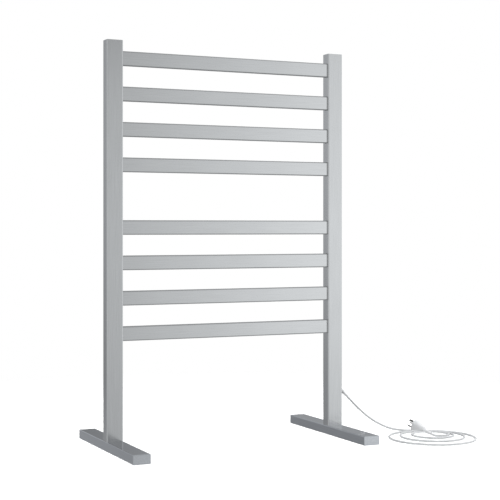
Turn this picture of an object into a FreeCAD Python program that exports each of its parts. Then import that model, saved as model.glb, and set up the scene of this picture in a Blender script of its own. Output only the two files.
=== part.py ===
import FreeCAD, Part
import math
import os

# A free-standing electric towel rail: two rectangular posts on flat feet, eight flat bars, a heating
# cable inside the tubes, and a white mains lead that leaves the right post and lies coiled beside it.
# Millimetres. The origin is on the floor, midway between the posts and at the middle of their depth.
# +X runs from the left post to the right post, +Y to the back, +Z up.

Vector = FreeCAD.Vector

# ---- driving dimensions -------------------------------------------------------------------------
rack_width = 600.0            # over the outer faces of the posts
rack_height = 923.5           # floor to the top of the posts

post_width = 38.0             # along X
post_depth = 28.0             # along Y
post_corner = 2.0             # outer corner radius
post_wall = 1.5
post_cap_thickness = 2.0

bar_height = 33.0
bar_depth = 12.0
bar_corner = 2.5
bar_wall = 1.2
bar_setback = 5.0             # face of a bar behind the face of the posts
bar_insert = 4.0              # how far a bar reaches into a post's slot
bars_above_gap = 4
bars_below_gap = 4
bar_pitch = 79.8
gap_pitch = 141.4             # from the last bar above the wide gap to the first bar below it
first_bar_drop = 23.8         # top of the posts to the top of the first bar
weld_gap = 0.05               # between a bar and its slot, closed by the weld
weld_size = 0.8               # leg of the dressed weld bead round a bar's end

foot_length = 376.0
foot_width = 40.0
foot_tube_height = 21.2
foot_corner = 1.7
foot_wall = 1.5
foot_cap_thickness = 2.0
cap_gap = 0.05                # between an end cap and the tube it closes

pad_thickness = 0.8
pad_length = 56.0
pad_width = 26.0
pad_corner = 5.0
pad_inset = 14.0              # from the end of a foot to its pad

block_height = 12.0           # nut block in the lower end of a post
block_gap = 0.1
foot_screw_radius = 3.0
foot_screw_spacing = 20.0
foot_screw_bite = 9.0         # how far a screw reaches into its block
foot_screw_gap = 0.05         # between a screw and its tapped hole, modelled plain
foot_hole_gap = 0.3           # between a screw and the foot's top wall
screw_head_radius = 5.0
screw_head_height = 4.5
screw_socket_flat = 4.0       # hexagon socket, across flats
screw_socket_depth = 2.5
access_hole_radius = 6.5      # in the foot's lower wall, under each screw

cord_radius = 2.8
gland_height = 107.5          # axis of the gland above the floor
gland_flange_radius = 6.6
gland_flange_thickness = 1.8
gland_neck_radius = 4.0
gland_neck_length = 6.0       # from the post's outer face inwards
gland_hole_gap = 0.1
gland_elbow_reach = 3.0       # elbow's centre beyond the post's outer face
gland_elbow_radius = 4.6
gland_sleeve_length = 18.0
gland_sleeve_end_radius = 3.3
gland_droop = 45.0            # degrees below level
gland_nut_flat = 12.0         # across flats
gland_nut_thickness = 3.0
gland_nut_gap = 0.05

lead_bend = 12.0
joint_radius = 5.5            # moulded joint between the lead and the heating cable
joint_length = 50.0
joint_base = 160.0            # lower end of the joint above the floor
heater_radius = 2.2
heater_bend = 14.0
heater_stop = 66.0            # end of the heating cable short of the right post, in the top bar
heater_seal_radius = 3.4
heater_seal_length = 30.0
heater_seal_cup = 0.05        # between the cable and the seal that closes its end

earth_stud_radius = 2.0
earth_stud_length = 6.5
earth_stud_height = 118.0
earth_lug_radius = 4.5
earth_lug_thickness = 0.8
earth_lug_gap = 0.05
earth_barrel_radius = 2.0
earth_barrel_start = 4.0      # above the stud's axis
earth_barrel_length = 8.0
earth_nut_flat = 7.0
earth_nut_thickness = 3.2
earth_wire_radius = 1.1
earth_wire_entry = 4.1        # wire's place in the joint's lower end, towards the earth stud

# ---- supply lead: route, coil and plug -------------------------------------------------------------
# X of the route, the coil and the plug is measured from the right post's outer face.
# Points of the lead's route from the gland's mouth to the coil, chosen one by one.
cord_points = [
    (34.0, 0.0, 76.5),
    (55.5, -1.5, 55.3),
    (79.5, -4.5, 34.5),
    (105.0, -10.0, 18.2),
    (129.5, -22.5, 6.0),
    (152.5, -41.4, cord_radius),
    (174.7, -56.7, cord_radius),
]
coil_center = (148.4, -171.6)   # of the outer turn
coil_drift = (12.2, 18.2)       # the centre moves by this much in one turn
coil_radius = 115.2             # at the coil's start
coil_shrink = 25.8              # loss of radius in one turn
coil_start_angle = 64.9         # degrees from +X; the turns run clockwise seen from above
coil_outline_points = 24

plug_heading = 105.0            # degrees from +X, level direction of the pins
plug_tilt = 15.0                # pins point up by this much
plug_roll = 13.0                # about the plug's own axis
plug_tail = (178.0, -131.9, 6.0)  # mouth of the plug's strain relief, where the lead enters
plug_tail_radius = 3.5
plug_relief_length = 22.0
plug_neck_radius = 5.6
plug_body_length = 32.0
plug_rim_length = 5.0           # straight part behind the face
plug_face_height = 29.0
plug_face_width = 25.0
plug_face_corner = 11.0
plug_back_height = 15.0
plug_back_width = 13.5
plug_back_corner = 5.5
pin_width = 6.3
pin_thickness = 1.6
pin_length = 17.0
pin_earth_length = 20.0
pin_embed = 6.0
pin_circle_radius = 7.9         # live and neutral pins from the plug's axis
pin_earth_offset = 9.3
pin_angle = 30.0

# ---- worked out from the dimensions above ------------------------------------------------------------
post_x = (rack_width - post_width) / 2
post_inner_x = rack_width / 2 - post_width
foot_top = pad_thickness + foot_tube_height
bar_center_y = -post_depth / 2 + bar_setback + bar_depth / 2
bar_length = 2 * (post_inner_x + bar_insert)
first_bar_z = rack_height - first_bar_drop - bar_height / 2
bar_count = bars_above_gap + bars_below_gap
bar_heights = [
    first_bar_z - i * bar_pitch - (gap_pitch - bar_pitch if i >= bars_above_gap else 0.0)
    for i in range(bar_count)
]


def rounded_outline(width, height, radius):
    """A rounded rectangle round the origin in the XY plane, as a wire."""
    x, y = width / 2, height / 2
    k = radius * math.sqrt(0.5)
    edges = []
    for sx, sy in ((1, 1), (-1, 1), (-1, -1), (1, -1)):
        across, up = Vector(sx * x, sy * (y - radius), 0), Vector(sx * (x - radius), sy * y, 0)
        middle = Vector(sx * (x - radius + k), sy * (y - radius + k), 0)
        start, end = (across, up) if sx * sy > 0 else (up, across)
        if edges:
            edges.append(Part.LineSegment(edges[-1].valueAt(edges[-1].LastParameter), start).toShape())
        edges.append(Part.Arc(start, middle, end).toShape())
    edges.append(Part.LineSegment(edges[-1].valueAt(edges[-1].LastParameter),
                                  edges[0].valueAt(edges[0].FirstParameter)).toShape())
    return Part.Wire(edges)


def rounded_prism(width, height, radius, length):
    """A rounded rectangle standing on the XY plane, length high."""
    return Part.Face(rounded_outline(width, height, radius)).extrude(Vector(0, 0, length))


def rectangular_tube(width, height, radius, wall, length):
    """A tube of rounded rectangular section standing on the XY plane."""
    outer = rounded_prism(width, height, radius, length)
    inner = rounded_prism(width - 2 * wall, height - 2 * wall, radius - wall, length)
    return outer.cut(inner)


def laid_along_x(shape, x, y, z):
    """Turn a standing shape to run along +X: its X becomes Y and its Y becomes Z."""
    shape.Placement = FreeCAD.Placement(Vector(x, y, z), FreeCAD.Rotation(Vector(1, 1, 1), 120))
    return shape


def laid_along_y(shape, x, y, z):
    """Turn a standing shape to run along +Y: its X becomes Z and its Y becomes X."""
    shape.Placement = FreeCAD.Placement(Vector(x, y, z), FreeCAD.Rotation(Vector(1, 1, 1), -120))
    return shape


def moved(shape, x, y, z):
    """The shape, moved."""
    shape.translate(Vector(x, y, z))
    return shape


def hexagon(across_flats, base, direction, height):
    """A hexagonal prism on base, rising along direction."""
    corner = across_flats / math.sqrt(3)
    ring = [Vector(corner * math.cos(math.radians(60 * i)), corner * math.sin(math.radians(60 * i)), 0)
            for i in range(7)]
    prism = Part.Face(Part.makePolygon(ring)).extrude(Vector(0, 0, height))
    prism.Placement = FreeCAD.Placement(base, FreeCAD.Rotation(Vector(0, 0, 1), direction))
    return prism


def round_tube(points, radius, bend=None, label=None):
    """A round solid along straight runs joined by tangent arcs.

    Without bend, each arc is as large as its two runs allow: 0.45 of the shorter run on each side.
    """
    points = [Vector(*p) for p in points]
    edges = []
    start = points[0]
    bends = []
    for before, corner, after in zip(points, points[1:], points[2:]):
        back, ahead = (before - corner), (after - corner)
        shorter = min(back.Length, ahead.Length)
        back.normalize()
        ahead.normalize()
        half_turn = (math.pi - back.getAngle(ahead)) / 2
        arc_radius = bend if bend else 0.45 * shorter / math.tan(half_turn)
        reach = arc_radius * math.tan(half_turn)
        enter, leave = corner + back * reach, corner + ahead * reach
        inward = (back + ahead).normalize()
        middle = corner + inward * (arc_radius / math.cos(half_turn) - arc_radius)
        edges.append(Part.LineSegment(start, enter).toShape())
        edges.append(Part.Arc(enter, middle, leave).toShape())
        start = leave
        bends.append(arc_radius)
    edges.append(Part.LineSegment(start, points[-1]).toShape())
    path = Part.Wire(edges)
    profile = Part.Wire([Part.makeCircle(radius, points[0], (points[1] - points[0]).normalize())])
    tube = path.makePipeShell([profile], True, False)
    if label:
        expected = math.pi * radius ** 2 * path.Length
        print(f"{label}: length {path.Length:.1f} mm, volume {tube.Volume:.0f} of {expected:.0f} mm3")
        print(f"{label}: bend radii {[round(b, 1) for b in bends]} mm")
    return tube


# ---- frame ----------------------------------------------------------------------------------------
def bar_section(extra, length):
    """The outside of a bar's section, enlarged by extra all round, standing on the XY plane."""
    return rounded_prism(bar_depth + 2 * extra, bar_height + 2 * extra, bar_corner + extra, length)


def make_bar(z):
    """One flat bar, a rectangular tube from post to post."""
    tube = rectangular_tube(bar_depth, bar_height, bar_corner, bar_wall, bar_length)
    return laid_along_x(tube, -bar_length / 2, bar_center_y, z)


def make_post(side):
    """A post with its bar slots; the right one also has the hole for the cable gland."""
    tube = rectangular_tube(post_width, post_depth, post_corner, post_wall, rack_height - foot_top)
    post = moved(tube, side * post_x, 0, foot_top)
    slot_length = 2 * (bar_insert + weld_gap)
    slots = [laid_along_x(bar_section(weld_gap, slot_length), side * post_inner_x - slot_length / 2,
                          bar_center_y, z) for z in bar_heights]
    post = post.cut(slots)
    if side > 0:
        hole = Part.makeCylinder(gland_neck_radius + gland_hole_gap, 2 * post_wall,
                                 Vector(rack_width / 2 - 1.5 * post_wall, 0, gland_height), Vector(1, 0, 0))
        post = post.cut(hole)
    return post


def make_post_cap(side):
    """The plate let into the top of a post, flush with it."""
    gap = 2 * (post_wall + cap_gap)
    plate = rounded_prism(post_width - gap, post_depth - gap, post_corner - post_wall, post_cap_thickness)
    return moved(plate, side * post_x, 0, rack_height - post_cap_thickness)


def make_welds(side):
    """The dressed weld bead round each bar where it enters a post."""
    beads = []
    for z in bar_heights:
        lower = rounded_outline(bar_depth + 2 * weld_size, bar_height + 2 * weld_size,
                                bar_corner + weld_size)
        upper = rounded_outline(bar_depth + 0.2 * weld_size, bar_height + 0.2 * weld_size,
                                bar_corner + 0.1 * weld_size)
        upper.translate(Vector(0, 0, weld_size))
        bead = Part.makeLoft([lower, upper], True, True).cut(bar_section(0, weld_size))
        bead = laid_along_x(bead, -post_inner_x, bar_center_y, z)
        beads.append(bead.mirror(Vector(0, 0, 0), Vector(1, 0, 0)) if side > 0 else bead)
    return Part.makeCompound(beads)


# ---- feet -----------------------------------------------------------------------------------------
def screw_places(side):
    """The two screw axes of one foot, as X coordinates."""
    return [side * post_x - foot_screw_spacing / 2, side * post_x + foot_screw_spacing / 2]


def make_foot(side):
    """A foot: a flat tube from front to back, with screw holes above and access holes below."""
    tube = rectangular_tube(foot_tube_height, foot_width, foot_corner, foot_wall, foot_length)
    foot = laid_along_y(tube, side * post_x, -foot_length / 2, pad_thickness + foot_tube_height / 2)
    holes = []
    for x in screw_places(side):
        holes.append(Part.makeCylinder(foot_screw_radius + foot_hole_gap, 2 * foot_wall,
                                       Vector(x, 0, foot_top - 1.5 * foot_wall)))
        holes.append(Part.makeCylinder(access_hole_radius, 2 * foot_wall,
                                       Vector(x, 0, pad_thickness - foot_wall / 2)))
    return foot.cut(holes)


def make_foot_cap(side, end):
    """The plate let into one end of a foot, flush with it; end is -1 at the front, +1 at the back."""
    gap = 2 * (foot_wall + cap_gap)
    plate = rounded_prism(foot_tube_height - gap, foot_width - gap, foot_corner - foot_wall,
                          foot_cap_thickness)
    y = -foot_length / 2 if end < 0 else foot_length / 2 - foot_cap_thickness
    return laid_along_y(plate, side * post_x, y, pad_thickness + foot_tube_height / 2)


def make_pad(side, end):
    """A thin rubber pad under one end of a foot."""
    pad = rounded_prism(pad_width, pad_length, pad_corner, pad_thickness)
    return moved(pad, side * post_x, end * (foot_length / 2 - pad_inset - pad_length / 2), 0)


def make_block(side):
    """The nut block in the lower end of a post, with its two tapped holes."""
    gap = 2 * (post_wall + block_gap)
    block = moved(rounded_prism(post_width - gap, post_depth - gap, post_corner - post_wall, block_height),
                  side * post_x, 0, foot_top)
    holes = [Part.makeCylinder(foot_screw_radius + foot_screw_gap, block_height, Vector(x, 0, foot_top))
             for x in screw_places(side)]
    return block.cut(holes)


def make_foot_screws(side):
    """The two socket screws that pull a foot up against its post."""
    seat = foot_top - foot_wall
    screws = []
    for x in screw_places(side):
        head = Part.makeCylinder(screw_head_radius, screw_head_height, Vector(x, 0, seat - screw_head_height))
        shank = Part.makeCylinder(foot_screw_radius, foot_wall + foot_screw_bite, Vector(x, 0, seat))
        socket = hexagon(screw_socket_flat, Vector(x, 0, seat - screw_head_height), Vector(0, 0, 1),
                         screw_socket_depth)
        screws.append(head.fuse(shank).removeSplitter().cut(socket))
    return Part.makeCompound(screws)


# ---- wiring inside the tubes --------------------------------------------------------------------------
def make_gland():
    """The moulded cable gland: a neck through the post's wall, a flange, and a drooping tapered sleeve."""
    face = rack_width / 2
    neck = Part.makeCylinder(gland_neck_radius, gland_neck_length,
                             Vector(face - gland_neck_length, 0, gland_height), Vector(1, 0, 0))
    flange = Part.makeCylinder(gland_flange_radius, gland_flange_thickness, Vector(face, 0, gland_height),
                               Vector(1, 0, 0))
    elbow = Vector(face + gland_elbow_reach, 0, gland_height)
    dome = Part.makeSphere(gland_elbow_radius, elbow)
    inside = Part.makeBox(2 * gland_elbow_radius, 4 * gland_elbow_radius, 4 * gland_elbow_radius,
                          Vector(face - 2 * gland_elbow_radius, -2 * gland_elbow_radius,
                                 gland_height - 2 * gland_elbow_radius))
    sleeve = Part.makeCone(gland_elbow_radius, gland_sleeve_end_radius, gland_sleeve_length, elbow,
                           droop_direction())
    return dome.fuse([sleeve, flange]).cut(inside).fuse(neck).removeSplitter()


def droop_direction():
    """The direction in which the gland's sleeve points."""
    droop = math.radians(gland_droop)
    return Vector(math.cos(droop), 0, -math.sin(droop))


def gland_mouth():
    """The point at which the lead leaves the gland."""
    elbow = Vector(rack_width / 2 + gland_elbow_reach, 0, gland_height)
    return elbow + droop_direction() * gland_sleeve_length


def make_gland_nut():
    """The hexagon nut that holds the gland from inside the post."""
    inner_face = rack_width / 2 - post_wall
    nut = hexagon(gland_nut_flat, Vector(inner_face, 0, gland_height), Vector(-1, 0, 0), gland_nut_thickness)
    bore = Part.makeCylinder(gland_neck_radius + gland_nut_gap, gland_nut_thickness,
                             Vector(inner_face, 0, gland_height), Vector(-1, 0, 0))
    return nut.cut(bore)


def make_inner_lead():
    """The lead inside the post, from the gland up to the joint."""
    start = rack_width / 2 - gland_neck_length
    points = [(start, 0, gland_height), (post_x, 0, gland_height), (post_x, 0, joint_base)]
    return round_tube(points, cord_radius, min(lead_bend, start - post_x))


def make_joint():
    """The moulded joint between the lead and the heating cable."""
    return Part.makeCylinder(joint_radius, joint_length, Vector(post_x, 0, joint_base))


def heater_end_x():
    """Where the heating cable stops in the top bar; which way its last run goes depends on the bars."""
    end = post_inner_x - heater_stop
    return end if bar_count % 2 == 0 else -end


def make_heating_cable():
    """The heating cable: up the right post, then to and fro through every bar from the lowest up."""
    points = [(post_x, bar_center_y, joint_base + joint_length)]
    side = 1
    for z in reversed(bar_heights):
        points.append((side * post_x, bar_center_y, z))
        side = -side
        points.append((side * post_x, bar_center_y, z))
    points[-1] = (heater_end_x(), bar_center_y, bar_heights[0])
    return round_tube(points, heater_radius, heater_bend)


def make_heater_seal():
    """The moulded seal over the end of the heating cable."""
    way = 1 if heater_end_x() > 0 else -1
    base = Vector(heater_end_x() - way * heater_seal_length / 2, bar_center_y, bar_heights[0])
    seal = Part.makeCylinder(heater_seal_radius, heater_seal_length, base, Vector(way, 0, 0))
    cup = Part.makeCylinder(heater_radius + heater_seal_cup, heater_seal_length / 2, base, Vector(way, 0, 0))
    return seal.cut(cup)


def make_earth_stud():
    """The stud welded to the inner wall of the right post."""
    return Part.makeCylinder(earth_stud_radius, earth_stud_length,
                             Vector(post_inner_x + post_wall, 0, earth_stud_height), Vector(1, 0, 0))


def make_earth_lug():
    """The crimped ring lug on the earth stud."""
    wall = post_inner_x + post_wall
    ring = Part.makeCylinder(earth_lug_radius, earth_lug_thickness, Vector(wall, 0, earth_stud_height),
                             Vector(1, 0, 0))
    tongue = Part.makeBox(earth_lug_thickness, 2 * earth_barrel_radius, earth_barrel_start + 1,
                          Vector(wall, -earth_barrel_radius, earth_stud_height + earth_stud_radius))
    barrel = Part.makeCylinder(earth_barrel_radius, earth_barrel_length,
                               Vector(wall + earth_barrel_radius, 0, earth_stud_height + barrel_base()))
    hole = Part.makeCylinder(earth_stud_radius + earth_lug_gap, earth_lug_thickness,
                             Vector(wall, 0, earth_stud_height), Vector(1, 0, 0))
    return ring.fuse([tongue, barrel]).cut(hole).removeSplitter()


def barrel_base():
    """The lower end of the lug's barrel above the stud's axis, clear of the nut."""
    return max(earth_barrel_start, earth_nut_flat / math.sqrt(3) + 0.3)


def make_earth_nut():
    """The nut that clamps the lug on its stud."""
    base = Vector(post_inner_x + post_wall + earth_lug_thickness, 0, earth_stud_height)
    nut = hexagon(earth_nut_flat, base, Vector(1, 0, 0), earth_nut_thickness)
    return nut.cut(Part.makeCylinder(earth_stud_radius + earth_lug_gap, earth_nut_thickness, base,
                                     Vector(1, 0, 0)))


def make_earth_wire():
    """The earth core, from the joint's lower end down to the lug."""
    low_x = post_inner_x + post_wall + earth_barrel_radius
    top_x = post_x - earth_wire_entry
    lug_top = earth_stud_height + barrel_base() + earth_barrel_length
    drop = (joint_base - lug_top) / 3
    points = [(top_x, 0, joint_base), (top_x, 0, joint_base - drop), (low_x, 0, lug_top + drop),
              (low_x, 0, lug_top)]
    return round_tube(points, earth_wire_radius)


# ---- lead, coil and plug -----------------------------------------------------------------------------
def coil_place(turns, outward):
    """A point of the coil's spiral after so many turns, moved outward from it."""
    angle = math.radians(coil_start_angle - 360 * turns)
    radius = coil_radius - coil_shrink * turns + outward
    x = rack_width / 2 + coil_center[0] + coil_drift[0] * turns + radius * math.cos(angle)
    y = coil_center[1] + coil_drift[1] * turns + radius * math.sin(angle)
    return Vector(x, y, 0)


def make_supply_cord():
    """The lead outside, from the gland's mouth down to the floor and on to the start of the coil."""
    mouth = gland_mouth()
    start = coil_place(0, 0)
    route = [(rack_width / 2 + x, y, z) for x, y, z in cord_points]
    points = [(mouth.x, mouth.y, mouth.z)] + route + [(start.x, start.y, cord_radius)]
    return round_tube(points, cord_radius, label="supply_cord")


def make_coil(cut_into_it):
    """The coil's outer shape: a flat snail of one cord's height, with a step where the lead enters."""
    outline = [coil_place(i / coil_outline_points, cord_radius) for i in range(coil_outline_points + 1)]
    spiral = Part.BSplineCurve()
    spiral.interpolate(outline)
    step = Part.LineSegment(outline[-1], outline[0]).toShape()
    disc = Part.Face(Part.Wire([spiral.toShape(), step])).extrude(Vector(0, 0, 2 * cord_radius))
    return disc.cut(cut_into_it)


def plug_placement():
    """The plug's own frame: Z along the pins, X towards the floor, origin at the strain relief's mouth."""
    heading = FreeCAD.Rotation(Vector(0, 0, 1), plug_heading)
    lean = FreeCAD.Rotation(Vector(0, 1, 0), 90 - plug_tilt)
    roll = FreeCAD.Rotation(Vector(0, 0, 1), plug_roll)
    tail = Vector(*plug_tail) + Vector(rack_width / 2, 0, 0)
    return FreeCAD.Placement(tail, heading.multiply(lean).multiply(roll))


def placed_on_plug(shape):
    """The shape, carried from the plug's frame to the part's."""
    shape.Placement = plug_placement().multiply(shape.Placement)
    return shape


def make_pin(across, along, turned, length):
    """One flat pin in the plug's frame, its centre at (across, along) and its width turned."""
    pin = Part.makeBox(pin_width, pin_thickness, length + pin_embed,
                       Vector(-pin_width / 2, -pin_thickness / 2, 0))
    pin = pin.makeChamfer(0.4 * pin_thickness, [e for e in pin.Edges
                                                if min(v.Z for v in e.Vertexes) > length])
    base = Vector(across, along, plug_relief_length + plug_body_length - pin_embed)
    pin.Placement = FreeCAD.Placement(base, FreeCAD.Rotation(Vector(0, 0, 1), turned))
    return pin


def make_pins():
    """The live, neutral and earth pins in the plug's frame."""
    spread = pin_circle_radius * math.cos(math.radians(pin_angle))
    rise = pin_circle_radius * math.sin(math.radians(pin_angle))
    return {
        "plug_live_pin": make_pin(-spread, rise, 90 - pin_angle, pin_length),
        "plug_neutral_pin": make_pin(spread, rise, 90 + pin_angle, pin_length),
        "plug_earth_pin": make_pin(0, rise - pin_earth_offset, 90, pin_earth_length),
    }


def make_plug_body(pins):
    """The plug's moulded body in its own frame: a rounded face that tapers to the strain relief."""
    face_end = plug_relief_length + plug_body_length
    rim = moved(rounded_prism(plug_face_height, plug_face_width, plug_face_corner, plug_rim_length),
                0, 0, face_end - plug_rim_length)
    back = rounded_outline(plug_back_height, plug_back_width, plug_back_corner)
    back.translate(Vector(0, 0, plug_relief_length))
    front = rounded_outline(plug_face_height, plug_face_width, plug_face_corner)
    front.translate(Vector(0, 0, face_end - plug_rim_length))
    taper = Part.makeLoft([back, front], True, True)
    return rim.fuse(taper).cut(list(pins.values()))


def make_plug_relief():
    """The tapered strain relief between the lead and the plug, in the plug's frame."""
    return Part.makeCone(plug_tail_radius, plug_neck_radius, plug_relief_length)


# ---- build ----------------------------------------------------------------------------------------
def build():
    """Every node of the model by name."""
    nodes = {}
    for word, side in (("left", -1), ("right", 1)):
        nodes[f"{word}_post"] = make_post(side)
        nodes[f"{word}_post_cap"] = make_post_cap(side)
        nodes[f"{word}_welds"] = make_welds(side)
        nodes[f"{word}_foot"] = make_foot(side)
        nodes[f"{word}_base_block"] = make_block(side)
        nodes[f"{word}_foot_screws"] = make_foot_screws(side)
        for place, end in (("front", -1), ("rear", 1)):
            nodes[f"{word}_foot_{place}_cap"] = make_foot_cap(side, end)
            nodes[f"{word}_{place}_pad"] = make_pad(side, end)
    for number, z in enumerate(bar_heights, 1):
        nodes[f"bar_{number}"] = make_bar(z)
    nodes["cable_gland"] = make_gland()
    nodes["gland_nut"] = make_gland_nut()
    nodes["inner_lead"] = make_inner_lead()
    nodes["heater_joint"] = make_joint()
    nodes["heating_cable"] = make_heating_cable()
    nodes["heater_end_seal"] = make_heater_seal()
    nodes["earth_stud"] = make_earth_stud()
    nodes["earth_lug"] = make_earth_lug()
    nodes["earth_nut"] = make_earth_nut()
    nodes["earth_wire"] = make_earth_wire()
    nodes["supply_cord"] = make_supply_cord()
    pins = make_pins()
    nodes["plug_body"] = placed_on_plug(make_plug_body(pins))
    nodes["plug_strain_relief"] = placed_on_plug(make_plug_relief())
    for name, pin in pins.items():
        nodes[name] = placed_on_plug(pin)
    nodes["cord_coil"] = make_coil([nodes[name] for name in ("supply_cord", "plug_body", "plug_strain_relief")])
    return nodes


os.makedirs("parts", exist_ok=True)
for name, shape in build().items():
    shape.exportStep(f"parts/{name}.step")
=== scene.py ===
import logging
import math
from dataclasses import dataclass, field
from enum import Enum
from typing import Sequence, Union

import bpy
import numpy as np
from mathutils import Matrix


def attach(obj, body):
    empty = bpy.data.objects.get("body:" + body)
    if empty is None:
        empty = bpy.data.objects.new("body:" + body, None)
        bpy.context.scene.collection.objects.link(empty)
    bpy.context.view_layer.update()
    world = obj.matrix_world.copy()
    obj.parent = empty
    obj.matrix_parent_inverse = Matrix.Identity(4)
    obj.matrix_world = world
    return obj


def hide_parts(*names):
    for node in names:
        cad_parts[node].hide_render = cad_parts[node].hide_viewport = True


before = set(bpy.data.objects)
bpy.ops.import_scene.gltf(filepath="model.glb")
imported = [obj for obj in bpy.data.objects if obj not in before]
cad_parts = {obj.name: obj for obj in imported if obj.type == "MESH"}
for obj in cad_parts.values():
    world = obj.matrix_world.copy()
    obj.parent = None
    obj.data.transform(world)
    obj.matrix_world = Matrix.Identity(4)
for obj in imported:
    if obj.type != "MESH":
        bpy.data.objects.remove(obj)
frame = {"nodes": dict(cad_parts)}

log = logging.getLogger("towel_rail")
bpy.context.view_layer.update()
ROOT = "root"

Colour = tuple[float, float, float, float]
Point = tuple[float, float, float]


# ---- shader building ----------------------------------------------------------------------------------


class Value:
    """A number socket of a node tree, with arithmetic that adds its own Math nodes."""

    def __init__(self, tree: "Tree", socket: bpy.types.NodeSocket) -> None:
        """Wrap one output socket of the tree."""
        self.tree = tree
        self.socket = socket

    def _math(self, operation: str, first: "Number", second: "Number") -> "Value":
        """One Math node on two numbers or sockets."""
        settings = {"operation": operation}
        return self.tree.value("ShaderNodeMath", settings, {0: first, 1: second})

    def __add__(self, other: "Number") -> "Value":
        """Sum."""
        return self._math("ADD", self, other)

    def __rsub__(self, other: "Number") -> "Value":
        """Difference from a plain number."""
        return self._math("SUBTRACT", other, self)

    def __mul__(self, other: "Number") -> "Value":
        """Product."""
        return self._math("MULTIPLY", self, other)

    def __truediv__(self, other: "Number") -> "Value":
        """Quotient."""
        return self._math("DIVIDE", self, other)

    def angle_from(self, other: "Value") -> "Value":
        """The angle whose tangent is this value over the other, in radians."""
        return self._math("ARCTAN2", self, other)

    def between(self, low: float, high: float) -> "Value":
        """A smooth step from 0 at low to 1 at high."""
        settings = {"interpolation_type": "SMOOTHSTEP"}
        return self.tree.value("ShaderNodeMapRange", settings, {0: self, 1: low, 2: high})

    __radd__ = __add__
    __rmul__ = __mul__


Number = Union[float, Value]


class Tree:
    """A node tree that is filled from Python expressions."""

    def __init__(self, nodes_of: Union[bpy.types.Material, bpy.types.World]) -> None:
        """Empty the tree of a material or a world and take it over.

        Args:
            nodes_of: the material or world.
        """
        nodes_of.use_nodes = True
        self.nodes = nodes_of.node_tree.nodes
        self.links = nodes_of.node_tree.links
        self.nodes.clear()

    def node(self, kind: str, settings: dict, inputs: dict) -> bpy.types.Node:
        """Add one node.

        Args:
            kind: the node's type name.
            settings: attributes set before anything is linked; "stops" fills a colour ramp.
            inputs: socket name or number to a plain value, a Value or an output socket.

        Returns:
            The new node.
        """
        made = self.nodes.new(kind)
        for name, setting in settings.items():
            if name == "stops":
                self._fill_ramp(made.color_ramp, setting)
            else:
                setattr(made, name, setting)
        for key, given in inputs.items():
            source = given.socket if isinstance(given, Value) else given
            if isinstance(source, bpy.types.NodeSocket):
                self.links.new(source, made.inputs[key])
            else:
                made.inputs[key].default_value = source
        return made

    @staticmethod
    def _fill_ramp(ramp: bpy.types.ColorRamp, stops: Sequence[tuple[float, float]]) -> None:
        """Give a colour ramp grey stops.

        Args:
            ramp: the ramp of a new node.
            stops: a place from 0 to 1 and a brightness for each, in rising order of place.
        """
        while len(ramp.elements) > 1:
            ramp.elements.remove(ramp.elements[-1])
        for index, (place, bright) in enumerate(stops):
            stop = ramp.elements[0] if index == 0 else ramp.elements.new(place)
            stop.position = place
            stop.color = (bright, bright, bright, 1.0)

    def value(self, kind: str, settings: dict, inputs: dict, output: Union[int, str] = 0) -> Value:
        """Add one node and wrap one of its outputs."""
        return Value(self, self.node(kind, settings, inputs).outputs[output])

    def place(self, stretch: Point = (1.0, 1.0, 1.0)) -> bpy.types.NodeSocket:
        """Object coordinates, each axis scaled.

        Args:
            stretch: the scale of each axis.

        Returns:
            The scaled coordinates.
        """
        where = self.node("ShaderNodeTexCoord", {}, {}).outputs["Object"]
        mapping = self.node("ShaderNodeMapping", {}, {"Vector": where, "Scale": stretch})
        return mapping.outputs["Vector"]

    def noise(self, where: bpy.types.NodeSocket, scale: float, detail: float = 4.0,
              roughness: float = 0.5) -> Value:
        """Fractal noise from 0 to 1 at the given places."""
        inputs = {"Vector": where, "Scale": scale, "Detail": detail, "Roughness": roughness}
        return self.value("ShaderNodeTexNoise", {}, inputs, "Fac")

    def blend(self, amount: Number, first: Colour, second: Colour) -> bpy.types.NodeSocket:
        """A colour between two, by amount."""
        mix = self.node("ShaderNodeMix", {"data_type": "RGBA"}, {0: amount, 6: first, 7: second})
        return mix.outputs[2]

    def bump(self, height: Value, strength: float, distance: float) -> bpy.types.NodeSocket:
        """A bumped normal from a height."""
        inputs = {"Height": height, "Strength": strength, "Distance": distance}
        return self.node("ShaderNodeBump", {}, inputs).outputs["Normal"]

    def surface(self, inputs: dict) -> None:
        """Add the Principled shader with its sockets, joined to the output."""
        shader = self.node("ShaderNodeBsdfPrincipled", {}, inputs)
        self.node("ShaderNodeOutputMaterial", {}, {"Surface": shader.outputs[0]})


# ---- finishes -----------------------------------------------------------------------------------------


class Grain(Enum):
    """The direction in which a tube was polished, as the stretch of its grain."""

    ALONG_X = (1.0, 40.0, 40.0)
    ALONG_Y = (40.0, 1.0, 40.0)
    ALONG_Z = (40.0, 40.0, 1.0)


def grey(level: float, blue: float = 0.0) -> Colour:
    """A grey, cooled a little by blue."""
    return (level * (1 - 0.5 * blue), level, level * (1 + blue), 1.0)


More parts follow.
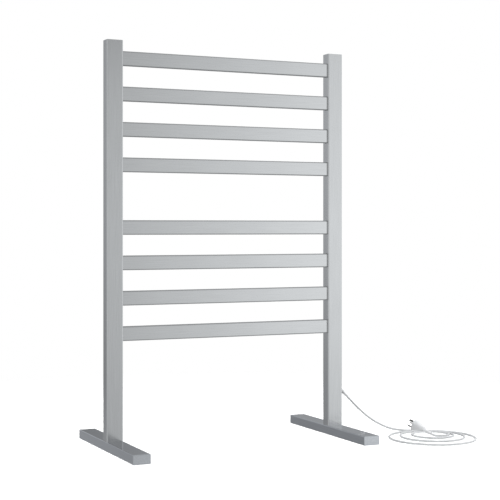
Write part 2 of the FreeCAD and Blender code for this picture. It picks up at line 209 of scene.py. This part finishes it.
@dataclass(frozen=True)
class PolishedSteel:
    """Polished stainless tube: a fine grain along its length, faint wipe marks and soft bright edges."""

    name: str
    grain: Grain
    base: float = 0.60
    contrast: float = 0.055
    rough: float = 0.08
    edge: float = 0.86
    cool: float = 0.018
    line_scale: float = 14.0
    wipe_scale: float = 9.0
    cloud_scale: float = 2.6
    line_rough: float = 0.05
    wipe_rough: float = 0.03
    added_rough: float = 0.03  # what lines and wipes add on average
    relief: float = 0.06
    relief_depth: float = 0.0004

    def make(self) -> bpy.types.Material:
        """Build the material.

        Returns:
            The finished material.
        """
        material = bpy.data.materials.new(self.name)
        tree = Tree(material)
        lines = tree.noise(tree.place(self.grain.value), self.line_scale, 6.0, 0.6)
        wipes = tree.noise(tree.place(), self.wipe_scale, 3.0, 0.55)
        clouds = tree.noise(tree.place(), self.cloud_scale, 2.0, 0.5)
        tone = lines * 0.6 + wipes * 0.15 + clouds * 0.25
        colour = tree.blend(tone.between(0.3, 0.7), grey(self.base * (1 - self.contrast), self.cool),
                            grey(self.base * (1 + self.contrast), self.cool))
        wiped = wipes.between(0.45, 0.75) * self.wipe_rough
        roughness = lines * self.line_rough + wiped + (self.rough - self.added_rough)
        normal = tree.bump(lines, self.relief, self.relief_depth)
        tree.surface({"Base Color": colour, "Metallic": 1.0, "Roughness": roughness, "Normal": normal,
                      "Specular Tint": grey(self.edge)})
        return material


@dataclass(frozen=True)
class PlainMetal:
    """Turned, plated or dressed metal: an even colour with fine pits and dull patches."""

    name: str
    low: Colour
    high: Colour
    rough: float = 0.35
    pitch: float = 600.0
    dull_rough: float = 0.15
    added_rough: float = 0.07  # what the dull patches add on average
    relief: float = 0.15
    relief_depth: float = 0.0002

    def make(self) -> bpy.types.Material:
        """Build the material.

        Returns:
            The finished material.
        """
        material = bpy.data.materials.new(self.name)
        tree = Tree(material)
        pits = tree.noise(tree.place(), self.pitch, 5.0, 0.6)
        dull = tree.noise(tree.place(), 0.1 * self.pitch, 3.0)
        colour = tree.blend(pits * 0.5 + dull * 0.5, self.low, self.high)
        roughness = dull.between(0.35, 0.7) * self.dull_rough + (self.rough - self.added_rough)
        tree.surface({"Base Color": colour, "Metallic": 1.0, "Roughness": roughness,
                      "Normal": tree.bump(pits, self.relief, self.relief_depth)})
        return material


@dataclass(frozen=True)
class Moulding:
    """Moulded plastic or rubber: a fine texture from the mould, and dust that dulls it in patches."""

    name: str
    clean: Colour
    soiled: Colour
    rough: float = 0.45
    texture: float = 900.0
    relief: float = 0.12
    relief_depth: float = 0.0002
    dust_scale: float = 26.0
    texture_rough: float = 0.1
    dust_rough: float = 0.08
    added_rough: float = 0.08  # what texture and dust add on average

    def make(self) -> bpy.types.Material:
        """Build the material.

        Returns:
            The finished material.
        """
        material = bpy.data.materials.new(self.name)
        tree = Tree(material)
        fine = tree.noise(tree.place(), self.texture, 4.0, 0.6)
        dust = tree.noise(tree.place(), self.dust_scale, 4.0, 0.6)
        colour = tree.blend(dust.between(0.42, 0.75), self.clean, self.soiled)
        dusty = dust.between(0.4, 0.7) * self.dust_rough
        roughness = fine * self.texture_rough + dusty + (self.rough - self.added_rough)
        tree.surface({"Base Color": colour, "Roughness": roughness,
                      "Normal": tree.bump(fine, self.relief, self.relief_depth)})
        return material


def wear(piece: bpy.types.Object, material: bpy.types.Material) -> None:
    """Put one material on every slot of a piece.

    Args:
        piece: a CAD node's object or a new piece.
        material: the finish.
    """
    slots = piece.material_slots
    if not slots:
        piece.data.materials.append(material)
    for slot in slots:
        slot.material = material


# ---- surfaces -----------------------------------------------------------------------------------------


def mesh_piece(name: str, vertices: np.ndarray, faces: Sequence[Sequence[int]],
               material: bpy.types.Material) -> bpy.types.Object:
    """A smooth-shaded piece, riding on the rail.

    Args:
        name: the piece's name.
        vertices: an N by 3 array in the rail's frame.
        faces: vertex numbers of each face.
        material: the piece's finish.

    Returns:
        The new object, at the origin.
    """
    mesh = bpy.data.meshes.new(name)
    mesh.from_pydata(vertices.tolist(), [], faces)
    mesh.update()
    mesh.polygons.foreach_set("use_smooth", np.ones(len(mesh.polygons), bool))
    piece = bpy.data.objects.new(name, mesh)
    bpy.context.scene.collection.objects.link(piece)
    wear(piece, material)
    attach(piece, ROOT)
    return piece


def tube_faces(rings: int, around: int) -> list[tuple[int, ...]]:
    """Faces of a closed-ended tube of rings: quads between neighbours and one face on each end.

    Vertex number = ring · around + place in the ring.

    Args:
        rings: number of rings.
        around: vertices in each ring.

    Returns:
        The faces, turned outwards for rings that rise along their axis counter-clockwise.
    """
    ring = np.arange(around)
    after = (ring + 1) % around
    base = around * np.arange(rings - 1)[:, None]
    quads = np.stack([base + ring, base + after, base + around + after, base + around + ring], axis=-1)
    ends = [tuple(ring[::-1].tolist()), tuple((around * (rings - 1) + ring).tolist())]
    return [tuple(quad) for quad in quads.reshape(-1, 4).tolist()] + ends


def bead_faces(beads: int, section: int, around: int) -> list[tuple[int, ...]]:
    """Faces of round beads, each a circle carried round a ring: quads that close both ways.

    Vertex number = (bead · section + i) · around + j, with i round the section and j round the ring.

    Args:
        beads: number of beads.
        section: vertices round each bead's section.
        around: vertices round each ring.

    Returns:
        The faces of all the beads, turned outwards.
    """
    bead, i, j = np.meshgrid(np.arange(beads), np.arange(section), np.arange(around), indexing="ij")
    row = (bead * section + i) * around
    next_row = (bead * section + (i + 1) % section) * around
    next_j = (j + 1) % around
    quads = np.stack([row + j, row + next_j, next_row + next_j, next_row + j], axis=-1)
    return [tuple(quad) for quad in quads.reshape(-1, 4).tolist()]


def rounded_sections(heights: np.ndarray, widths: np.ndarray, squareness: np.ndarray,
                     stations: np.ndarray, around: int) -> np.ndarray:
    """Rings of superellipse sections along Z.

    At station z and angle a the point is (h/2 · c(cos a), w/2 · c(sin a), z), where c keeps the sign and
    raises the size to 2/n, n being the squareness: 2 is an ellipse and larger is squarer.

    Args:
        heights: the section's whole size along X at each station.
        widths: its whole size along Y.
        squareness: n at each station.
        stations: z of each section.
        around: vertices in each ring.

    Returns:
        The vertices, an N by 3 array, ring after ring.
    """
    angle = np.linspace(0, 2 * np.pi, around, endpoint=False)[None, :]
    exponent = (2.0 / squareness)[:, None]
    across, along = np.cos(angle), np.sin(angle)
    x = heights[:, None] / 2 * np.sign(across) * np.abs(across) ** exponent
    y = widths[:, None] / 2 * np.sign(along) * np.abs(along) ** exponent
    z = np.broadcast_to(stations[:, None], x.shape)
    return np.stack([x, y, z], axis=-1).reshape(-1, 3)


# ---- the steel rail -----------------------------------------------------------------------------------


@dataclass
class SteelRail:
    """Posts, bars, feet and what closes and joins them."""

    bars: int = 8
    nodes: dict = field(default_factory=lambda: frame["nodes"])

    def dress(self) -> None:
        """Give every steel node its polished finish, with the grain along the tube."""
        upright = PolishedSteel("steel_posts", Grain.ALONG_Z, rough=0.17).make()
        level = PolishedSteel("steel_bars", Grain.ALONG_X).make()
        lying = PolishedSteel("steel_feet", Grain.ALONG_Y, base=0.61, cool=0.055).make()
        bead = PlainMetal("dressed_welds", grey(0.36), grey(0.5), 0.3, 900.0).make()
        block = PlainMetal("nut_blocks", grey(0.33), grey(0.45), 0.4).make()
        zinc = PlainMetal("zinc_screws", (0.55, 0.56, 0.5, 1), (0.68, 0.68, 0.6, 1), 0.28).make()
        rubber = Moulding("pad_rubber", grey(0.02), grey(0.05), 0.75, 500.0, 0.35).make()
        for number in range(1, self.bars + 1):
            wear(self.nodes[f"bar_{number}"], level)
        for side in ("left", "right"):
            for name, finish in (("post", upright), ("post_cap", upright), ("welds", bead),
                                 ("foot", lying), ("foot_front_cap", lying), ("foot_rear_cap", lying),
                                 ("base_block", block), ("foot_screws", zinc),
                                 ("front_pad", rubber), ("rear_pad", rubber)):
                wear(self.nodes[f"{side}_{name}"], finish)
        log.info("steel rail dressed: %d bars, two posts and two feet", self.bars)


@dataclass
class Wiring:
    """The parts inside the tubes."""

    nodes: dict = field(default_factory=lambda: frame["nodes"])

    def dress(self, sheath: bpy.types.Material) -> None:
        """Give the inner parts their finishes.

        Args:
            sheath: the lead's own material, for its length inside the post.
        """
        silicone = Moulding("heater_silicone", (0.42, 0.05, 0.03, 1), (0.3, 0.05, 0.04, 1), 0.5).make()
        grey_seal = Moulding("seal_silicone", grey(0.16), grey(0.12), 0.55).make()
        brass = PlainMetal("earth_brass", (0.55, 0.38, 0.14, 1), (0.75, 0.56, 0.25, 1), 0.3).make()
        tin = PlainMetal("tinned_lug", grey(0.55), grey(0.7), 0.35).make()
        green = Moulding("earth_sleeve", (0.1, 0.34, 0.04, 1), (0.1, 0.25, 0.05, 1), 0.4).make()
        nylon = Moulding("nut_nylon", grey(0.75), grey(0.68), 0.5).make()
        for name, finish in (("inner_lead", sheath), ("heating_cable", silicone),
                             ("heater_joint", grey_seal), ("heater_end_seal", grey_seal),
                             ("earth_stud", brass), ("earth_nut", brass), ("earth_lug", tin),
                             ("earth_wire", green), ("gland_nut", nylon)):
            wear(self.nodes[name], finish)
        log.info("inner wiring dressed")


# ---- the lead -----------------------------------------------------------------------------------------


@dataclass
class SupplyLead:
    """The white mains lead from the gland to the plug, with its loose flat coil."""

    radius: float = 0.0028
    length: float = 1.80
    mouth: Point = (0.31573, 0.0, 0.09477)
    route: tuple[Point, ...] = (
        (0.3340, 0.0000, 0.0765),
        (0.3555, -0.0015, 0.0553),
        (0.3795, -0.0045, 0.0345),
        (0.4050, -0.0100, 0.0182),
        (0.4295, -0.0225, 0.0060),
        (0.4525, -0.0414, 0.0028),
        (0.4747, -0.0567, 0.0028),
    )
    coil_center: tuple[float, float] = (0.4484, -0.1716)
    coil_drift: tuple[float, float] = (0.0122, 0.0182)
    coil_radius: float = 0.1152
    coil_shrink: float = 0.0258
    start_angle: float = 64.9
    coil_steps: int = 42
    points_per_turn: int = 16
    first_step: float = 0.75  # how far past the start angle the first point lies, in steps
    inner_route: tuple[tuple[float, float], ...] = (
        (0.4339, -0.1257), (0.4393, -0.1075), (0.4513, -0.0929), (0.4681, -0.0841), (0.4871, -0.0825),
        (0.5051, -0.0885), (0.5193, -0.1010), (0.5276, -0.1181), (0.5283, -0.1338), (0.5230, -0.1451),
        (0.5130, -0.1525), (0.5008, -0.1545), (0.4890, -0.1504), (0.4805, -0.1413),
    )
    plug_mouth: Point = (0.4780, -0.1319, 0.0060)

    def coil_points(self) -> list[Point]:
        """The turns of the coil.

        The angle falls evenly, the radius shrinks evenly with it and the centre drifts to the back, so
        that the turns fan out at the front. Each point stands out by 1/cos(half its step), because the
        smooth line runs through the middles of the route's runs.

        Returns:
            The points on the floor, from the coil's start inwards.
        """
        turn = (np.arange(self.coil_steps) + self.first_step) / self.points_per_turn
        angle = np.radians(self.start_angle - 360 * turn)
        radius = (self.coil_radius - self.coil_shrink * turn) / math.cos(math.pi / self.points_per_turn)
        x = self.coil_center[0] + self.coil_drift[0] * turn + radius * np.cos(angle)
        y = self.coil_center[1] + self.coil_drift[1] * turn + radius * np.sin(angle)
        return [(float(a), float(b), self.radius) for a, b in zip(x, y)]

    def inner_points(self) -> list[Point]:
        """The innermost turn, which closes up tightly, and the short rise into the plug."""
        return [(x, y, self.radius) for x, y in self.inner_route] + [self.plug_mouth]

    def build(self, sheath: bpy.types.Material) -> bpy.types.Object:
        """Args:
            sheath: the lead's material.

        Returns:
            The lead's curve object.
        """
        points = [self.mouth, *self.route, *self.coil_points(), *self.inner_points()]
        curve = bpy.data.curves.new("mains_lead", "CURVE")
        curve.dimensions = "3D"
        spline = curve.splines.new("NURBS")
        spline.points.add(len(points) - 1)
        spline.points.foreach_set("co", np.hstack([np.array(points), np.ones((len(points), 1))]).ravel())
        spline.order_u = 3
        spline.use_endpoint_u = True
        spline.use_smooth = True
        curve.resolution_u = 6
        curve.bevel_depth = self.radius
        curve.bevel_resolution = 4
        curve.use_fill_caps = True
        lead = bpy.data.objects.new("mains_lead", curve)
        bpy.context.scene.collection.objects.link(lead)
        wear(lead, sheath)
        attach(lead, ROOT)
        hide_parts("supply_cord", "cord_coil")
        log.info("lead laid with %d points", len(points))
        return lead


# ---- plug and gland -----------------------------------------------------------------------------------


@dataclass
class AimedFrame:
    """A frame whose Z axis is aimed: level heading, then tilt above level, then roll about itself."""

    origin: Point
    heading: float
    tilt: float
    roll: float = 0.0

    def carry(self, points: np.ndarray) -> np.ndarray:
        """Points of this frame in the rail's frame: turned by roll, lean and heading, then moved.

        Args:
            points: an N by 3 array in this frame.

        Returns:
            The same points in the rail's frame.
        """
        h, lean, r = (math.radians(a) for a in (self.heading, 90 - self.tilt, self.roll))
        turn_h = np.array([[math.cos(h), -math.sin(h), 0], [math.sin(h), math.cos(h), 0], [0, 0, 1]])
        turn_l = np.array([[math.cos(lean), 0, math.sin(lean)], [0, 1, 0],
                           [-math.sin(lean), 0, math.cos(lean)]])
        turn_r = np.array([[math.cos(r), -math.sin(r), 0], [math.sin(r), math.cos(r), 0], [0, 0, 1]])
        return points @ (turn_h @ turn_l @ turn_r).T + np.array(self.origin)


@dataclass
class Plug:
    """The moulded plug on the lead's end."""

    mouth: Point
    heading: float = 105.0
    tilt: float = 15.0
    roll: float = 13.0
    relief_length: float = 0.022
    relief_mouth_radius: float = 0.0035
    relief_neck_radius: float = 0.0056
    body_length: float = 0.032
    rim_length: float = 0.005
    face_height: float = 0.029
    face_width: float = 0.025
    back_height: float = 0.015
    back_width: float = 0.0135
    edge: float = 0.0012
    entry_length: float = 0.0006
    groove_depth: float = 0.0004
    ribs: int = 6
    rib_depth: float = 0.00075
    body_points: int = 56
    relief_points: int = 32
    relief_stations: int = 97

    @property
    def aim(self) -> AimedFrame:
        """The plug's own frame: its origin is the relief's mouth and its Z axis points to the face."""
        return AimedFrame(self.mouth, self.heading, self.tilt, self.roll)

    def _body_stations(self) -> tuple[np.ndarray, np.ndarray, np.ndarray, np.ndarray]:
        """Sections along the body.

        From back to rim the size grows by a smooth step mixed with a straight line. Behind the face a
        straight rim ends in a small rounded edge, a quarter circle in section, and a shallow groove, a
        bell curve in section, parts the rim from the taper. Smaller rings close the back and the face.

        Returns:
            Stations, and the height, width and squareness at each.
        """
        start = self.relief_length
        end = start + self.body_length
        taper = np.linspace(0, 1, 30)
        grown = 0.35 * taper + 0.65 * taper * taper * (3 - 2 * taper)
        taper_z = start + (self.body_length - self.rim_length) * taper
        rim = np.linspace(0, 1, 9)[1:]
        rim_z = end - self.rim_length + (self.rim_length - self.edge) * rim
        groove = self.groove_depth * np.exp(-((rim - 0.3) / 0.12) ** 2)
        turn = np.linspace(0, np.pi / 2, 8)[1:]
        edge_z = end - self.edge + self.edge * np.sin(turn)
        edge_in = self.edge * (1 - np.cos(turn))
        back_rings, face_rings = np.array([0.55, 0.9]), np.array([0.6, 0.2])

        def sizes(back: float, face: float) -> np.ndarray:
            """The section's size in one direction at every station, from its sizes at back and face."""
            return np.concatenate([back * back_rings, back + (face - back) * grown, face - 2 * groove,
                                   face - 2 * edge_in, (face - 2 * self.edge) * face_rings])

        z = np.concatenate([taper_z, rim_z, edge_z, np.full(len(face_rings), end)])
        z = z + np.where(z < start + self.entry_length, self.entry_length, 0)
        z = np.concatenate([[start, start + self.entry_length / 3], z])
        straight = np.full(len(z) - len(taper) - len(back_rings), 2.8)
        squareness = np.concatenate([np.full(len(back_rings), 2.2), 2.3 + 0.5 * taper, straight])
        height = sizes(self.back_height, self.face_height)
        width = sizes(self.back_width, self.face_width)
        return z, height, width, squareness

    def build_shell(self, plastic: bpy.types.Material) -> bpy.types.Object:
        """The plug's moulded body.

        Args:
            plastic: the plug's material.

        Returns:
            The body's object.
        """
        z, height, width, squareness = self._body_stations()
        rings = rounded_sections(height, width, squareness, z, self.body_points)
        faces = tube_faces(len(z), self.body_points)
        shell = mesh_piece("plug_shell", self.aim.carry(rings), faces, plastic)
        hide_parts("plug_body")
        return shell

    def build_boot(self, plastic: bpy.types.Material) -> bpy.types.Object:
        """The strain relief: a straight taper, thinned between its ribs by a clipped sine wave.

        Args:
            plastic: the plug's material.

        Returns:
            The strain relief's object.
        """
        share = np.linspace(0, 1, self.relief_stations)
        radius = self.relief_mouth_radius + (self.relief_neck_radius - self.relief_mouth_radius) * share
        wave = np.clip(np.sin(2 * np.pi * self.ribs * share - 0.5 * np.pi), -0.2, 1)
        inside = (share > 0.06) & (share < 0.94)
        radius = radius - np.where(inside, self.rib_depth * 0.5 * (1 - wave), 0)
        rings = rounded_sections(2 * radius, 2 * radius, np.full(len(share), 2.0),
                                 self.relief_length * share, self.relief_points)
        faces = tube_faces(len(share), self.relief_points)
        boot = mesh_piece("plug_boot", self.aim.carry(rings), faces, plastic)
        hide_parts("plug_strain_relief")
        return boot

    def dress_pins(self) -> None:
        """Nickel-plated pins."""
        nickel = PlainMetal("pin_nickel", grey(0.24), grey(0.32), 0.3, 900.0).make()
        for name in ("plug_live_pin", "plug_neutral_pin", "plug_earth_pin"):
            wear(frame["nodes"][name], nickel)

    def build(self, plastic: bpy.types.Material) -> None:
        """Build every piece of the plug.

        Args:
            plastic: the plug's material.
        """
        self.build_shell(plastic)
        self.build_boot(plastic)
        self.dress_pins()
        log.info("plug built")


@dataclass
class Gland:
    """The cable gland's sleeve: its plastic, and ribs round it along its droop."""

    elbow: Point = (0.303, 0.0, 0.1075)
    droop: float = 45.0
    root_radius: float = 0.0046
    end_radius: float = 0.0033
    sleeve_length: float = 0.018
    first: float = 0.0080
    pitch: float = 0.0024
    ribs: int = 4
    rib: float = 0.0005
    section_points: int = 10
    ring_points: int = 40

    def build(self, plastic: bpy.types.Material) -> bpy.types.Object:
        """Ribs round the sleeve: each is a circle of the rib's radius carried round the sleeve's taper.

        Args:
            plastic: the gland's material.

        Returns:
            The ribs' object.
        """
        wear(frame["nodes"]["cable_gland"], plastic)
        station = (self.first + self.pitch * np.arange(self.ribs))[:, None, None]
        swing = np.linspace(0, 2 * np.pi, self.section_points, endpoint=False)[None, :, None]
        around = np.linspace(0, 2 * np.pi, self.ring_points, endpoint=False)[None, None, :]
        sleeve = self.root_radius + (self.end_radius - self.root_radius) * station / self.sleeve_length
        reach = sleeve + self.rib * np.cos(swing)
        rise = station + self.rib * np.sin(swing) + 0 * around
        points = np.stack([reach * np.cos(around), reach * np.sin(around), rise], axis=-1).reshape(-1, 3)
        faces = bead_faces(self.ribs, self.section_points, self.ring_points)
        aim = AimedFrame(self.elbow, 0.0, -self.droop)
        ribs = mesh_piece("gland_ribs", aim.carry(points), faces, plastic)
        log.info("gland ribbed")
        return ribs


# ---- studio -------------------------------------------------------------------------------------------


@dataclass
class Studio:
    """Pale floor, white backdrop, soft surroundings and the camera."""

    camera_place: Point = (-1.20555, -2.70435, 0.50143)
    camera_yaw: float = 25.06
    lens: float = 90.948
    shift_up: float = -0.04416
    backdrop_radius: float = 14.0
    backdrop_rows: int = 24
    backdrop_columns: int = 48
    floor_radius: float = 3.2
    floor_points: int = 96
    softbox_place: Point = (0.9, -0.6, 2.9)
    softbox_lean: tuple[float, float] = (12.0, 17.0)
    softbox_size: tuple[float, float] = (2.4, 1.6)
    softbox_watts: float = 135.0
    brightness: float = 1.07
    front_tint: Colour = (0.978, 1.0, 1.004, 1.0)
    back_tint: Colour = (0.97, 0.995, 1.02, 1.0)
    # Brightness all round: degrees from straight in front, positive to the rail's right, and a level.
    surroundings: tuple[tuple[float, float], ...] = (
        (-180, 0.8), (-172, 0.75), (-165, 0.42), (-161, 0.41), (-151, 0.5), (-142, 0.55), (-125, 0.9),
        (-90, 0.9), (-50, 0.8), (-20, 0.5), (5, 0.56), (18, 0.63), (28, 1.03), (38, 1.1), (60, 1.03),
        (90, 1.03), (125, 0.95), (140, 0.5), (150, 0.39), (159, 0.35), (163, 0.23), (166, 0.26),
        (173, 0.75), (180, 0.8),
    )

    def build_camera(self) -> None:
        """A level camera, turned to the right, with the horizon above the middle of its frame."""
        data = bpy.data.cameras.new("camera")
        data.sensor_width = 36.0
        data.lens = self.lens
        data.shift_y = self.shift_up
        camera = bpy.data.objects.new("camera", data)
        camera.location = self.camera_place
        camera.rotation_euler = (math.radians(90), 0, math.radians(-self.camera_yaw))
        bpy.context.scene.collection.objects.link(camera)
        bpy.context.scene.camera = camera

    @staticmethod
    def _patches(compass: Value, y: Value, z: Value) -> Value:
        """Brighter and darker regions of the surroundings.

        Args:
            compass: the direction all round, from 0 straight behind through 0.5 in front to 1.
            y: how far the direction points behind the rail.
            z: how far it points up.

        Returns:
            The factor that the regions give: brighter low behind, above all just left of straight behind,
            and darker low on the right and high in front.
        """
        low = z * -1.0
        behind = y.between(0.3, 0.6) * low.between(0.2, 0.3)
        low_left = low.between(0.13, 0.165) * (1 - compass.between(0.061, 0.075))
        low_right = low.between(0.155, 0.17) * compass.between(0.57, 0.58)
        ahead = compass.between(0.5, 0.53) * (1 - compass.between(0.56, 0.58))
        high_front = z.between(0.154, 0.176) * ahead
        return ((1 + behind * 1.2) * (1 + low_left * 0.62)
                * (1 - low_right * 0.2) * (1 - high_front * 0.38))

    def build_world(self) -> None:
        """Soft surroundings whose brightness changes with the compass direction and with height."""
        world = bpy.data.worlds.new("studio")
        bpy.context.scene.world = world
        tree = Tree(world)
        way = tree.node("ShaderNodeTexCoord", {}, {}).outputs["Generated"]
        parts = tree.node("ShaderNodeSeparateXYZ", {}, {0: way}).outputs
        x, y, z = (Value(tree, parts[i]) for i in range(3))
        compass = x.angle_from(y * -1.0) / (2 * math.pi) + 0.5
        peak = max(bright for _, bright in self.surroundings)
        stops = [((angle + 180) / 360, bright / peak) for angle, bright in self.surroundings]
        ramp = tree.node("ShaderNodeValToRGB", {"stops": stops}, {0: compass})
        side = Value(tree, ramp.outputs["Color"]) * peak
        fall = (1 - z.between(0.0, 0.4) * 0.45) * (1 - (z * -1.0).between(0.02, 0.4) * 0.5)
        back = y.between(0.72, 0.85)
        sky = 1 + z * back * 1.7
        strength = side * self.brightness * fall * self._patches(compass, y, z) * sky
        colour = tree.blend(back, self.front_tint, self.back_tint)
        light = tree.node("ShaderNodeBackground", {}, {"Strength": strength, "Color": colour})
        tree.node("ShaderNodeOutputWorld", {}, {"Surface": light.outputs[0]})

    def build_backdrop(self) -> None:
        """A plain white shell far away that only the camera sees."""
        material = bpy.data.materials.new("backdrop_white")
        tree = Tree(material)
        glow = tree.node("ShaderNodeEmission", {}, {"Color": (1, 1, 1, 1), "Strength": 1.0})
        tree.node("ShaderNodeOutputMaterial", {}, {"Surface": glow.outputs[0]})
        rows, columns, r = self.backdrop_rows, self.backdrop_columns, self.backdrop_radius
        angle = np.linspace(0, 2 * np.pi, columns, endpoint=False)[None, :]
        rise = np.linspace(-np.pi / 2 + 0.01, np.pi / 2 - 0.01, rows)[:, None]
        shell = np.stack([r * np.cos(rise) * np.cos(angle), r * np.cos(rise) * np.sin(angle),
                          r * np.sin(rise) * np.ones_like(angle)], axis=-1).reshape(-1, 3)
        backdrop = self._stage_piece("backdrop", shell, tube_faces(rows, columns), material)
        backdrop.visible_diffuse = False
        backdrop.visible_glossy = False
        backdrop.visible_shadow = False
        backdrop.visible_transmission = False

    def build_floor(self) -> None:
        """A pale floor that fades out far from the rail; the steel mirrors the surroundings, not it."""
        material = bpy.data.materials.new("floor_pale")
        tree = Tree(material)
        spots = tree.noise(tree.place(), 3.0, 3.0)
        colour = tree.blend(spots, grey(0.93), grey(0.96))
        shader = tree.node("ShaderNodeBsdfDiffuse", {}, {"Color": colour})
        clear = tree.node("ShaderNodeBsdfTransparent", {}, {})
        where = tree.node("ShaderNodeTexCoord", {}, {}).outputs["Object"]
        far = tree.value("ShaderNodeVectorMath", {"operation": "LENGTH"}, {0: where}, "Value")
        mix = tree.node("ShaderNodeMixShader", {}, {0: far.between(0.45, 1.5), 1: shader.outputs[0],
                                                    2: clear.outputs[0]})
        tree.node("ShaderNodeOutputMaterial", {}, {"Surface": mix.outputs[0]})
        angle = np.linspace(0, 2 * np.pi, self.floor_points, endpoint=False)
        ring = np.stack([self.floor_radius * np.cos(angle), self.floor_radius * np.sin(angle),
                         np.full(self.floor_points, -0.0002)], axis=-1)
        floor = self._stage_piece("floor", ring, [tuple(range(self.floor_points))], material)
        floor.visible_glossy = False

    @staticmethod
    def _stage_piece(name: str, vertices: np.ndarray, faces: Sequence[Sequence[int]],
                     material: bpy.types.Material) -> bpy.types.Object:
        """A piece of the stage, which isn't part of the rail.

        Args:
            name: the piece's name.
            vertices: an N by 3 array.
            faces: vertex numbers of each face.
            material: its material.

        Returns:
            The new object.
        """
        mesh = bpy.data.meshes.new(name)
        mesh.from_pydata(vertices.tolist(), [], faces)
        mesh.materials.append(material)
        piece = bpy.data.objects.new(name, mesh)
        bpy.context.scene.collection.objects.link(piece)
        return piece

    def build_lights(self) -> None:
        """A large soft light overhead, a little to the right and the front."""
        data = bpy.data.lights.new("softbox", "AREA")
        data.shape = "RECTANGLE"
        data.size, data.size_y = self.softbox_size
        data.energy = self.softbox_watts
        data.use_shadow = False
        lamp = bpy.data.objects.new("softbox", data)
        lamp.location = self.softbox_place
        lamp.rotation_euler = (*(math.radians(lean) for lean in self.softbox_lean), 0)
        lamp.visible_glossy = False
        bpy.context.scene.collection.objects.link(lamp)

    def build(self) -> None:
        """Build the stage, lights and camera."""
        self.build_world()
        self.build_backdrop()
        self.build_floor()
        self.build_lights()
        self.build_camera()
        bpy.context.scene.view_settings.view_transform = "Standard"
        log.info("studio ready")


def main() -> None:
    """Build the towel rail piece by piece."""
    logging.basicConfig(level=logging.INFO, format="%(name)s: %(message)s")
    sheath = Moulding("lead_sheath", grey(0.46, 0.02), grey(0.43, 0.02), 0.42, 1200.0, 0.08).make()
    plastic = Moulding("plug_plastic", grey(0.56, 0.015), grey(0.52, 0.015), 0.38, 1100.0, 0.1).make()
    SteelRail().dress()
    Wiring().dress(sheath)
    lead = SupplyLead()
    Plug(lead.plug_mouth).build(plastic)
    Gland().build(plastic)
    lead.build(sheath)
    Studio().build()


if __name__ == "__main__":
    main()
